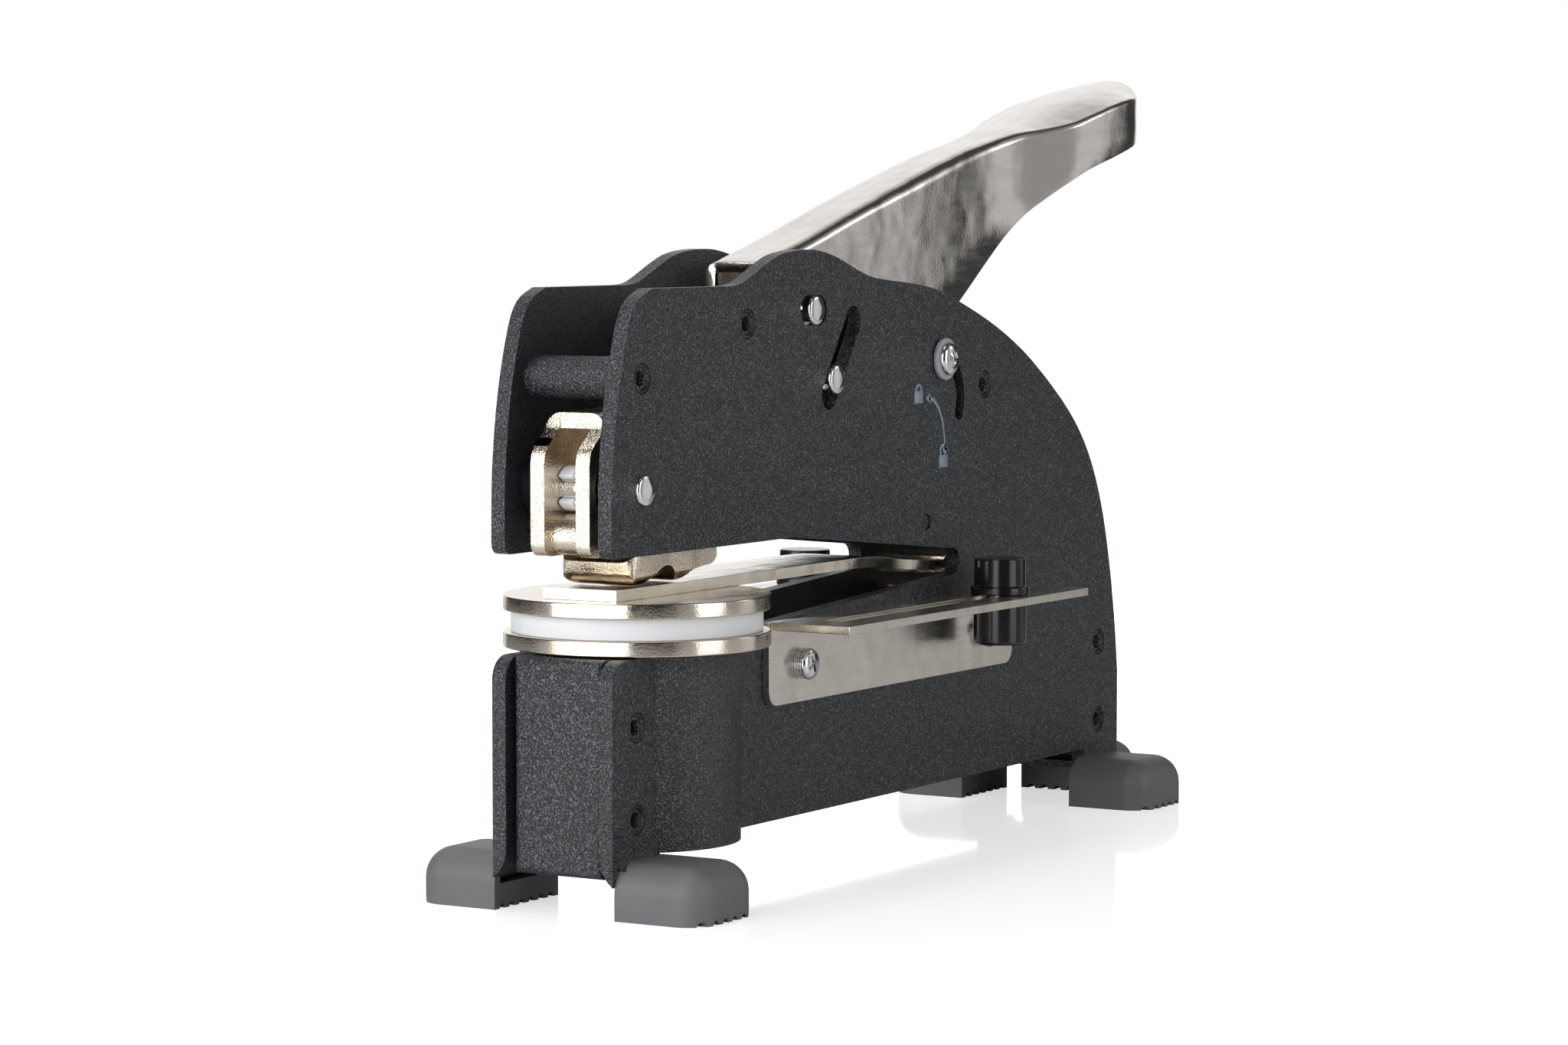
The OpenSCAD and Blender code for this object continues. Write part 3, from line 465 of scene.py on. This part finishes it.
def block(low, high):
    """A box between two corners, in mm"""
    bm = bmesh.new()
    bmesh.ops.create_cube(bm, size=1)
    bmesh.ops.scale(bm, verts=bm.verts, vec=[(b - a) * MM for a, b in zip(low, high)])
    return shift(bm, *((a + b) / 2 for a, b in zip(low, high)))


def fold_cutter(mirrored):
    """What a bend of the fold radius leaves off the channel's square top corner, on one side"""
    centre_x = CHANNEL_HALF - FOLD_R
    bar = turned([(BAR_START, 0), (BAR_START, FOLD_R), (BAR_END, FOLD_R), (BAR_END, 0)], 64)
    shift(swing(bar, math.pi / 2, "Z"), centre_x, 0, -FOLD_R)
    corner = block((centre_x, FOLD_START, -FOLD_R), (CHANNEL_HALF + 1, FOLD_END, 1))
    corner = swing(cut_away(corner, bar), TOP_TILT, "X")
    return put(corner, 0, *TOP_FRONT, mirrored=mirrored)


channel = solid_of("rocker")
for mirrored in (False, True):
    channel = cut_away(channel, fold_cutter(mirrored))
soften(channel, radius=0.55, sharp=42)
make_piece(channel, "rocker_channel", "rocker", "nickel_plate", rough_nickel, "rocker")

# ---------------------------------------------------------------------------
# Press shoe: a deep-drawn, plated steel trough, hung in the rocker on a pin. It is
# rippled underneath, where it bears on the spring arm.
trough = soften(solid_of("press_shoe"), radius=0.2, segments=2, sharp=50)
make_piece(trough, "press_trough", "shoe", "nickel_plate", rough_nickel, "press_shoe")

# ---------------------------------------------------------------------------
# Front pivot: a bright pin with domed ends through both plates, with two split nylon
# sleeves in the rocker and dark plastic washers on each side of it.
PIVOT, PIN_R, BORE_R, SLEEVE_R, WASHER_R = (-18.35, 78.7), 3.0, 3.05, 4.3, 5.9
SLEEVE_IN, SLEEVE_OUT, HALF_SLIT, WASHER_IN = 0.12, 3.35, math.radians(33), 6.7
bright = plated("bright_pin", (0.82, 0.82, 0.82), shine=0.04, dull=0.10, waves=0.4, strength=0.3,
                depth=0.0003)

plastic, tree, shader = new_material("black_plastic")
mould = noise(tree, scale=700.0, detail=3.0)
wire(tree, shader, {
    "Base Color": blend(tree, mould, (0.005, 0.0055, 0.008, 1), (0.011, 0.012, 0.016, 1)),
    "Roughness": spread(tree, mould, 0.08, 0.2),
    "Normal": bump(tree, mould, strength=0.12, depth=0.0001)})


def domed_end(start, radius, proud):
    """Half profile of a pin's domed end, from its rim to the point on its axis"""
    return [(start, radius), (start + 0.45 * proud, radius), (start + 0.75 * proud, radius - 0.18 * proud),
            (start + 0.93 * proud, radius - 0.5 * proud), (start + proud, 0.45 * radius), (start + proud, 0)]


pin = turned(mirrored_profile(domed_end(OUTER_X, PIN_R, 0.9)))
make_piece(put(pin, 0, *PIVOT), "front_pivot", "frame", "nickel_plate", bright, "pivot_pin")

sleeves = []
for sign in (1, -1):
    sleeve = bmesh.new()
    corners = [(SLEEVE_IN, BORE_R), (SLEEVE_OUT, BORE_R), (SLEEVE_OUT, SLEEVE_R), (SLEEVE_IN, SLEEVE_R)]
    face = sleeve.faces.new([sleeve.verts.new((sign * along * MM, 0, r * MM)) for along, r in corners])
    swing(sleeve, math.pi / 2 + HALF_SLIT, "X")
    bmesh.ops.spin(sleeve, geom=[face], cent=(0, 0, 0), axis=(1, 0, 0), angle=2 * (math.pi - HALF_SLIT),
                   steps=40, use_merge=False, use_duplicate=False)
    bmesh.ops.holes_fill(sleeve, edges=sleeve.edges)
    bmesh.ops.recalc_face_normals(sleeve, faces=sleeve.faces)
    sleeves.append(put(soften(sleeve, radius=0.3, segments=2), 0, *PIVOT))
make_piece(joined(sleeves), "split_sleeves", "rocker", "white_nylon", nylon, "pivot_bushes")


def flat_ring(low, high, inner, outer):
    """A washer along X, from low to high, with its bore's and its rim's radius"""
    return turned([(low, inner), (low, outer), (high, outer), (high, inner), (low, inner)])


washers = []
for mirrored in (False, True):
    ring = soften(flat_ring(WASHER_IN, INNER_X, BORE_R, WASHER_R), radius=0.3, segments=2)
    washers.append(put(ring, 0, *PIVOT, mirrored=mirrored))
make_piece(joined(washers), "spacer_washers", "frame", "black_plastic", plastic, "pivot_washers")


# ---------------------------------------------------------------------------
# Handle: one plate pressed from satin nickel-plated steel, folded down at both sides
# and drawn round at the grip. A grid is laid over its outside, station by station.
def smooth_value(table, y):
    """A value read off a smooth line through a table of (y, value)"""
    if y <= table[0][0]:
        return table[0][1]
    if y >= table[-1][0]:
        return table[-1][1]
    i = max(k for k in range(len(table) - 1) if table[k][0] <= y)
    (y1, v1), (y2, v2) = table[i], table[i + 1]
    before = table[i - 1] if i > 0 else (2 * y1 - y2, 2 * v1 - v2)
    after = table[i + 2] if i + 2 < len(table) else (2 * y2 - y1, 2 * v2 - v1)
    slope_1 = (v2 - before[1]) / (y2 - before[0])
    slope_2 = (after[1] - v1) / (after[0] - y1)
    span, t = y2 - y1, (y - y1) / (y2 - y1)
    return ((2 * t ** 3 - 3 * t ** 2 + 1) * v1 + (t ** 3 - 2 * t ** 2 + t) * span * slope_1
            + (-2 * t ** 3 + 3 * t ** 2) * v2 + (t ** 3 - t ** 2) * span * slope_2)


# The grip's end is half an ellipse, laid over the last share of the stations
HANDLE_FRONT, GRIP_Y, GRIP_HALF, GRIP_END, END_SHARE = 36.2, 180.0, 13.3, 18.0, 0.2
CROWN_Z = [(36.2, 120.0), (54, 124.6), (75.4, 130.8), (95, 136.2), (108, 139.6), (121, 142.7),
           (134, 145.3), (143, 147.3), (150, 148.7), (158, 150.7), (167, 153.2), (175, 155.2),
           (183, 156.9), (190, 158.2), (198, 159.2)]
CROWN_DROP = [(36.2, 0.1), (95, 0.3), (121, 0.5), (134, 1.6), (143, 2.6), (150, 2.6), (167, 2.4),
              (183, 2.7), (191, 4.6), (198, 5.2)]
SIDE_HALF = [(36.2, 6.9), (92, 6.9), (108, 6.7), (121, 6.3), (130, 6.2), (137, 6.6), (143, 7.6),
             (150, 9.8), (158, 12.1), (167, 13.0), (175, 13.3), (180, 13.3)]
CORNER_R = [(36.2, 2.2), (54, 2.2), (75.4, 2.3), (95, 2.8), (121, 2.8), (134, 2.3), (143, 1.9),
            (150, 1.6), (167, 1.3), (190, 1.2), (198, 0.9)]
FLANK_LOW = [(36.2, 112), (38.6, 105), (42, 97.5), (46, 92), (51, 89.6), (57, 89.4), (62, 89.6),
             (75, 92.2), (90, 97.5), (104, 104.2), (116.3, 111.3), (128, 118.9), (138, 125.8),
             (147, 131.4), (160.5, 137.9), (176, 142.1), (191, 145.7), (198, 146.9)]
STATIONS, CROWN_STEPS, CORNER_STEPS, FLANK_STEPS = 110, 6, 5, 3
HALF_STEPS = CROWN_STEPS + CORNER_STEPS + FLANK_STEPS
SHEET = 2.0


def handle_point(across, along):
    """A point of the handle's outer skin, from -1 to 1 across it and 0 to 1 along it"""
    if along < 1 - END_SHARE:
        y = HANDLE_FRONT + (GRIP_Y - HANDLE_FRONT) * along / (1 - END_SHARE)
        half = smooth_value(SIDE_HALF, y)
    else:
        sweep = (along - (1 - END_SHARE)) / END_SHARE * math.pi / 2
        y = GRIP_Y + GRIP_END * math.sin(sweep)
        half = GRIP_HALF * math.cos(sweep)
    corner = min(smooth_value(CORNER_R, y), half)
    flat = half - corner
    crown, drop = smooth_value(CROWN_Z, y), smooth_value(CROWN_DROP, y)
    edge_z = crown - drop * (flat / GRIP_HALF) ** 2
    low_z = smooth_value(FLANK_LOW, y)
    step = abs(across) * HALF_STEPS
    if step <= CROWN_STEPS:
        x = flat * step / CROWN_STEPS
        z = crown - drop * (x / GRIP_HALF) ** 2
    elif step <= CROWN_STEPS + CORNER_STEPS:
        turn = (step - CROWN_STEPS) / CORNER_STEPS * math.pi / 2
        x = flat + corner * math.sin(turn)
        z = edge_z - corner + corner * math.cos(turn)
    else:
        x = half
        down = (step - CROWN_STEPS - CORNER_STEPS) / FLANK_STEPS
        z = (edge_z - corner) + (low_z - edge_z + corner) * down
    return math.copysign(x, across), y, z


shell = bmesh.new()
bmesh.ops.create_grid(shell, x_segments=2 * HALF_STEPS, y_segments=STATIONS, size=1)
for vert in shell.verts:
    x, y, z = handle_point(vert.co.x, (vert.co.y + 1) / 2)
    vert.co = Vector((x * MM, y * MM + die_y, z * MM))
bmesh.ops.remove_doubles(shell, verts=shell.verts, dist=2e-5)
bmesh.ops.recalc_face_normals(shell, faces=shell.faces)
top_face = max(shell.faces, key=lambda f: f.calc_center_median().z)
if top_face.normal.z < 0:
    bmesh.ops.reverse_faces(shell, faces=shell.faces)
satin_nickel = plated("polished_handle", (0.79, 0.75, 0.71), shine=0.08, dull=0.22, depth=0.0005)
handle = make_piece(shell, "handle_shell", "handle", "satin_nickel", satin_nickel, "handle", crease=60)
wall = handle.modifiers.new("sheet", "SOLIDIFY")
wall.thickness = SHEET * MM
wall.offset = -1
wall.use_even_offset = True
rims = handle.modifiers.new("rims", "BEVEL")
rims.width = 0.35 * MM
rims.segments = 2
rims.limit_method = "ANGLE"
rims.angle_limit = math.radians(50)

# ---------------------------------------------------------------------------
# Slider pins: bright pins turned with a neck for the plates' slots and a domed head
# outside each plate. The handle turns on the upper one and the lower one drives the rocker.
NECK_START, NECK_END, NECK_R = 10.05, 13.45, 2.3
neck = [(NECK_START, PIN_R), (NECK_START, NECK_R), (NECK_END, NECK_R)]
for node, body, y, z in (("upper_pin", "slider", 43.7, 110.7), ("lower_pin", "handle", 51.68, 96.9)):
    pin = turned(mirrored_profile(neck + domed_end(NECK_END, 2.95, 0.85)))
    make_piece(put(pin, 0, y, z), f"{node}_bright", body, "bright_chrome", bright, node)

# ---------------------------------------------------------------------------
# Lock: a bright turned stud with a milky plastic washer, which slides in the curved
# slot and turns the lever behind the plate.
LOCK, STUD_OUT, STUD_ANGLE, STUD_R = (95.8, 91.6), 8, math.radians(87), 1.5
STUD = (LOCK[0] + STUD_OUT * math.cos(STUD_ANGLE), LOCK[1] + STUD_OUT * math.sin(STUD_ANGLE))
stud = turned([(8.1, 0), (8.1, STUD_R), (14.4, STUD_R), (14.4, 3.35), (14.9, 3.4), (15.4, 3.1),
               (15.75, 2.5), (15.8, 1.9), (15.5, 1.7), (15.6, 1.2), (15.9, 0.6), (15.95, 0)])
make_piece(put(stud, 0, *STUD), "lock_button", "lock", "bright_chrome", bright, "lock_stud")
milky, tree, shader = new_material("milky_washer")
shader.inputs["Roughness"].default_value = 0.25
cloud = noise(tree, scale=300.0, detail=2.0)
wire(tree, shader, {"Base Color": blend(tree, cloud, (0.36, 0.37, 0.40, 1), (0.46, 0.47, 0.50, 1))})
ring = soften(flat_ring(13.4, 14.4, STUD_R, 4.35), radius=0.3)
make_piece(put(ring, 0, *STUD), "lock_washer_ring", "lock", "white_nylon", milky, "lock_washer")

# ---------------------------------------------------------------------------
# Marks beside the lock: a bent double arrow between a shut and an open padlock,
# printed on the right plate in pale grey-blue ink.
ink, tree, shader = new_material("pale_ink")
shader.inputs["Roughness"].default_value = 0.5
worn = noise(tree, scale=2400.0, detail=1.0)
wire(tree, shader, {"Base Color": blend(tree, worn, (0.20, 0.26, 0.33, 1), (0.36, 0.43, 0.50, 1))})
SHUT_AT, OPEN_AT = (85.9, 92.1), (96.4, 78.5)
ARROW_LEFT, ARROW_LOW = (90.2, 91.7), (97.1, 80.7)
LINE, HEAD_R, FILM, FILM_AT = 0.6, 1.3, 0.04, 0.05
CASE_WIDE, CASE_HIGH, BOW_R = 3.6, 2.6, 1.15


def flat_arc(start, sweep, radius, width):
    """A flat part of a ring in the YZ plane, in degrees and mm"""
    bm = bmesh.new()
    verts = [bm.verts.new((0, r * MM, 0)) for r in (radius - width / 2, radius + width / 2)]
    edge = bm.edges.new(verts)
    swing(bm, math.radians(start), "X")
    bmesh.ops.spin(bm, geom=verts + [edge], cent=(0, 0, 0), axis=(1, 0, 0), angle=math.radians(sweep),
                   steps=18, use_merge=False, use_duplicate=False)
    return bm


def flat_patch(y, z, width, height):
    """A flat rectangle in the YZ plane about a point, in mm"""
    bm = bmesh.new()
    bmesh.ops.create_grid(bm, x_segments=1, y_segments=1, size=0.5)
    swing(bm, math.pi / 2, "Y")
    bmesh.ops.scale(bm, verts=bm.verts, vec=(1, width * MM, height * MM))
    return shift(bm, 0, y, z)


def arrow_head(y, z, pointing):
    """A flat triangle in the YZ plane that points at an angle from +Y, in degrees"""
    bm = bmesh.new()
    bmesh.ops.create_circle(bm, cap_ends=True, segments=3, radius=HEAD_R * MM)
    swing(bm, math.pi / 2, "Y")
    swing(bm, math.radians(pointing), "X")
    return shift(bm, 0, y, z)


def padlock(y, z, lift):
    """A small padlock whose shackle is lifted by some mm"""
    top = CASE_HIGH / 2
    shackle = shift(flat_arc(0, 180, BOW_R, LINE), 0, 0, top + lift)
    leg = flat_patch(-BOW_R, top + lift / 2, LINE, lift + 0.02)
    return shift(joined([shackle, flat_patch(0, 0, CASE_WIDE, CASE_HIGH), leg]), 0, y, z)


# A quarter of a ring of 1 mm is stretched to reach from head to head. That widens its line
# seven to eleven times, so it starts thin.
bow = flat_arc(0, 90, 1.0, LINE / 8)
bmesh.ops.scale(bow, verts=bow.verts, vec=(1, ARROW_LOW[0] - ARROW_LEFT[0], ARROW_LEFT[1] - ARROW_LOW[1]))
shift(bow, 0, ARROW_LEFT[0], ARROW_LOW[1])
marks = joined([bow, arrow_head(*ARROW_LEFT, 180), arrow_head(*ARROW_LOW, 270), padlock(*SHUT_AT, 0),
                padlock(*OPEN_AT, 0.9)])
for face in marks.faces:
    if face.normal.x < 0:
        face.normal_flip()
printed = make_piece(put(marks, OUTER_X + FILM_AT, 0, 0), "lock_marks", "frame", "white_nylon", ink)
film = printed.modifiers.new("film", "SOLIDIFY")
film.thickness = FILM * MM

# ---------------------------------------------------------------------------
# Paper guides: angle brackets of nickel-plated sheet with a long slot in their table,
# one on each side, each held by two cross-head screws over thin washers.
sheet_nickel = plated("sheet_nickel", (0.80, 0.755, 0.69), shine=0.2, dull=0.32, depth=0.0003)
for side in SIDES:
    angle = soften(solid_of(f"guide_bracket_{side}"), radius=0.25, segments=2)
    make_piece(angle, f"guide_angle_{side}", "frame", "nickel_plate", sheet_nickel, f"guide_bracket_{side}")

SCREWS = [(36.0, 42.0), (110.7, 42.0)]
HEAD_LOW, SLOT_LOW, SLOT_TOP, SLOT_LONG, SLOT_WIDE = 16.15, 16.95, 18.5, 3.5, 0.72
STACK_LOW, STACK_STEP, STACK_THICK = 14.93, 0.41, 0.36


def pan_screw():
    """A cross-head pan screw along X"""
    screw = turned([(10.5, 0), (10.5, 1.5), (HEAD_LOW, 1.5), (HEAD_LOW, 2.95), (16.3, 3.1), (16.95, 3.1),
                    (17.45, 2.75), (17.72, 2.0), (17.8, 1.0), (17.82, 0)])
    for degrees in (24, 114):
        slot = block((SLOT_LOW, -SLOT_LONG / 2, -SLOT_WIDE / 2), (SLOT_TOP, SLOT_LONG / 2, SLOT_WIDE / 2))
        screw = cut_away(screw, swing(slot, math.radians(degrees), "X"))
    return screw


def washer_stack():
    """Three thin washers, one on another, between the bracket and the screw's head"""
    rings = []
    for i in range(3):
        low = STACK_LOW + STACK_STEP * i
        rings.append(soften(flat_ring(low, low + STACK_THICK, 1.75, 3.05), radius=0.1, segments=2))
    return joined(rings)


for make, name, node in ((pan_screw, "guide_pan_screws", "guide_screws"),
                         (washer_stack, "guide_washer_stacks", "guide_washers")):
    four = [put(make(), 0, y, z, mirrored=mirrored) for y, z in SCREWS for mirrored in (False, True)]
    make_piece(joined(four), name, "frame", "nickel_plate", bright, node)

# ---------------------------------------------------------------------------
# Clamp knobs: glossy black plastic caps moulded on a plated stud, with a nut of the
# same plastic below. They slide in the guides' slots and clamp against the table.
KNOB, TABLE_TOP, TABLE_LOW = (23.4, 102.5), 50.96, 49.24
CAP_PROFILE = [(0, 0), (0, 6.1), (1.7, 6.1), (1.7, 5.35), (7.5, 5.35), (7.5, 0)]
NUT_PROFILE = [(-8.6, 0), (-8.6, 5.5), (0, 5.5), (0, 0)]
for side in SIDES:
    left = side == "left"
    cap = soften(turned(CAP_PROFILE, 64), radius=0.35)
    make_piece(put(cap, *KNOB, TABLE_TOP, upright=True, mirrored=left), f"knob_{side}", f"knob_{side}",
               "black_plastic", plastic, f"knob_cap_{side}")
    nut = soften(turned(NUT_PROFILE, 64), radius=0.7, segments=4)
    make_piece(put(nut, *KNOB, TABLE_LOW, upright=True, mirrored=left), f"knob_nut_body_{side}",
               f"knob_{side}", "black_plastic", plastic, f"knob_nut_{side}")

# ---------------------------------------------------------------------------
# Feet: moulded grey rubber caps pushed over the plates' tabs, ribbed underneath, with
# well-rounded tops and a little dust on them.
rubber, tree, shader = new_material("grey_rubber")
cloud = noise(tree, scale=120.0, detail=4.0)
dust = noise(tree, scale=2600.0, detail=1.0)
body_tone = blend(tree, cloud, (0.135, 0.138, 0.145, 1), (0.185, 0.188, 0.195, 1))
specks = spread(tree, dust, 0.0, 1.0, 0.735, 0.77)
wire(tree, shader, {
    "Base Color": blend(tree, specks, body_tone, (0.32, 0.32, 0.31, 1)),
    "Roughness": spread(tree, cloud, 0.42, 0.58),
    "Normal": bump(tree, dust, strength=0.25, depth=0.0001)})

# The rounded box keeps a skin's depth inside the foot, and runs beyond it where it is left square
FOOT_ROUND, SKIN, BEYOND = 5.8, 0.04, 2.0
FEET = {"foot_front_right": (-1, 0, 0), "foot_front_left": (1, 0, 0), "foot_rear_right": (-1, 0, 0),
        "foot_rear_left": (1, 0, 0), "foot_rear_middle": (0, -1, 0)}


def pillow(low, high, inward):
    """A box in mm, rounded on top and at its outer corners, open-ended below and on its inner side"""
    start, end = low / MM + Vector((SKIN, SKIN, -BEYOND)), high / MM - Vector((SKIN, SKIN, SKIN))
    for axis in (0, 1):
        if inward[axis] < 0:
            start[axis] -= BEYOND
        elif inward[axis] > 0:
            end[axis] += BEYOND
    form = block(start, end)
    innermost = max(v.co.dot(inward) for v in form.verts)
    rounded = []
    for edge in form.edges:
        below = all(v.co.z < 0 for v in edge.verts)
        inner = all(v.co.dot(inward) > innermost - SKIN * MM for v in edge.verts)
        if not below and not inner:
            rounded.append(edge)
    return round_edges(form, rounded, FOOT_ROUND, segments=8)


for node, inward in FEET.items():
    foot = make_flat(cut_away(solid_of(node), pillow(*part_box(node), Vector(inward)), "INTERSECT"))
    soften(foot, radius=0.3, segments=2, sharp=50)
    make_piece(foot, f"rubber_{node}", "frame", "grey_rubber", rubber, node)

# ---------------------------------------------------------------------------
# Solids that stay as they are: the die post and pins of steel, mostly inside, coated
# like the plates or nickel plated like the pieces that they hold.
KEPT = {"anvil_post": coat, "cross_pin": coat, "lower_die_screw": nickel, "upper_die_screws": nickel,
        "arm_anchor_pin": nickel, "shoe_pin": nickel, "lock_lever": nickel, "lock_pivot": nickel,
        "knob_stud_right": nickel, "knob_stud_left": nickel}
for node, material in KEPT.items():
    nodes[node].data.materials.clear()
    nodes[node].data.materials.append(material)
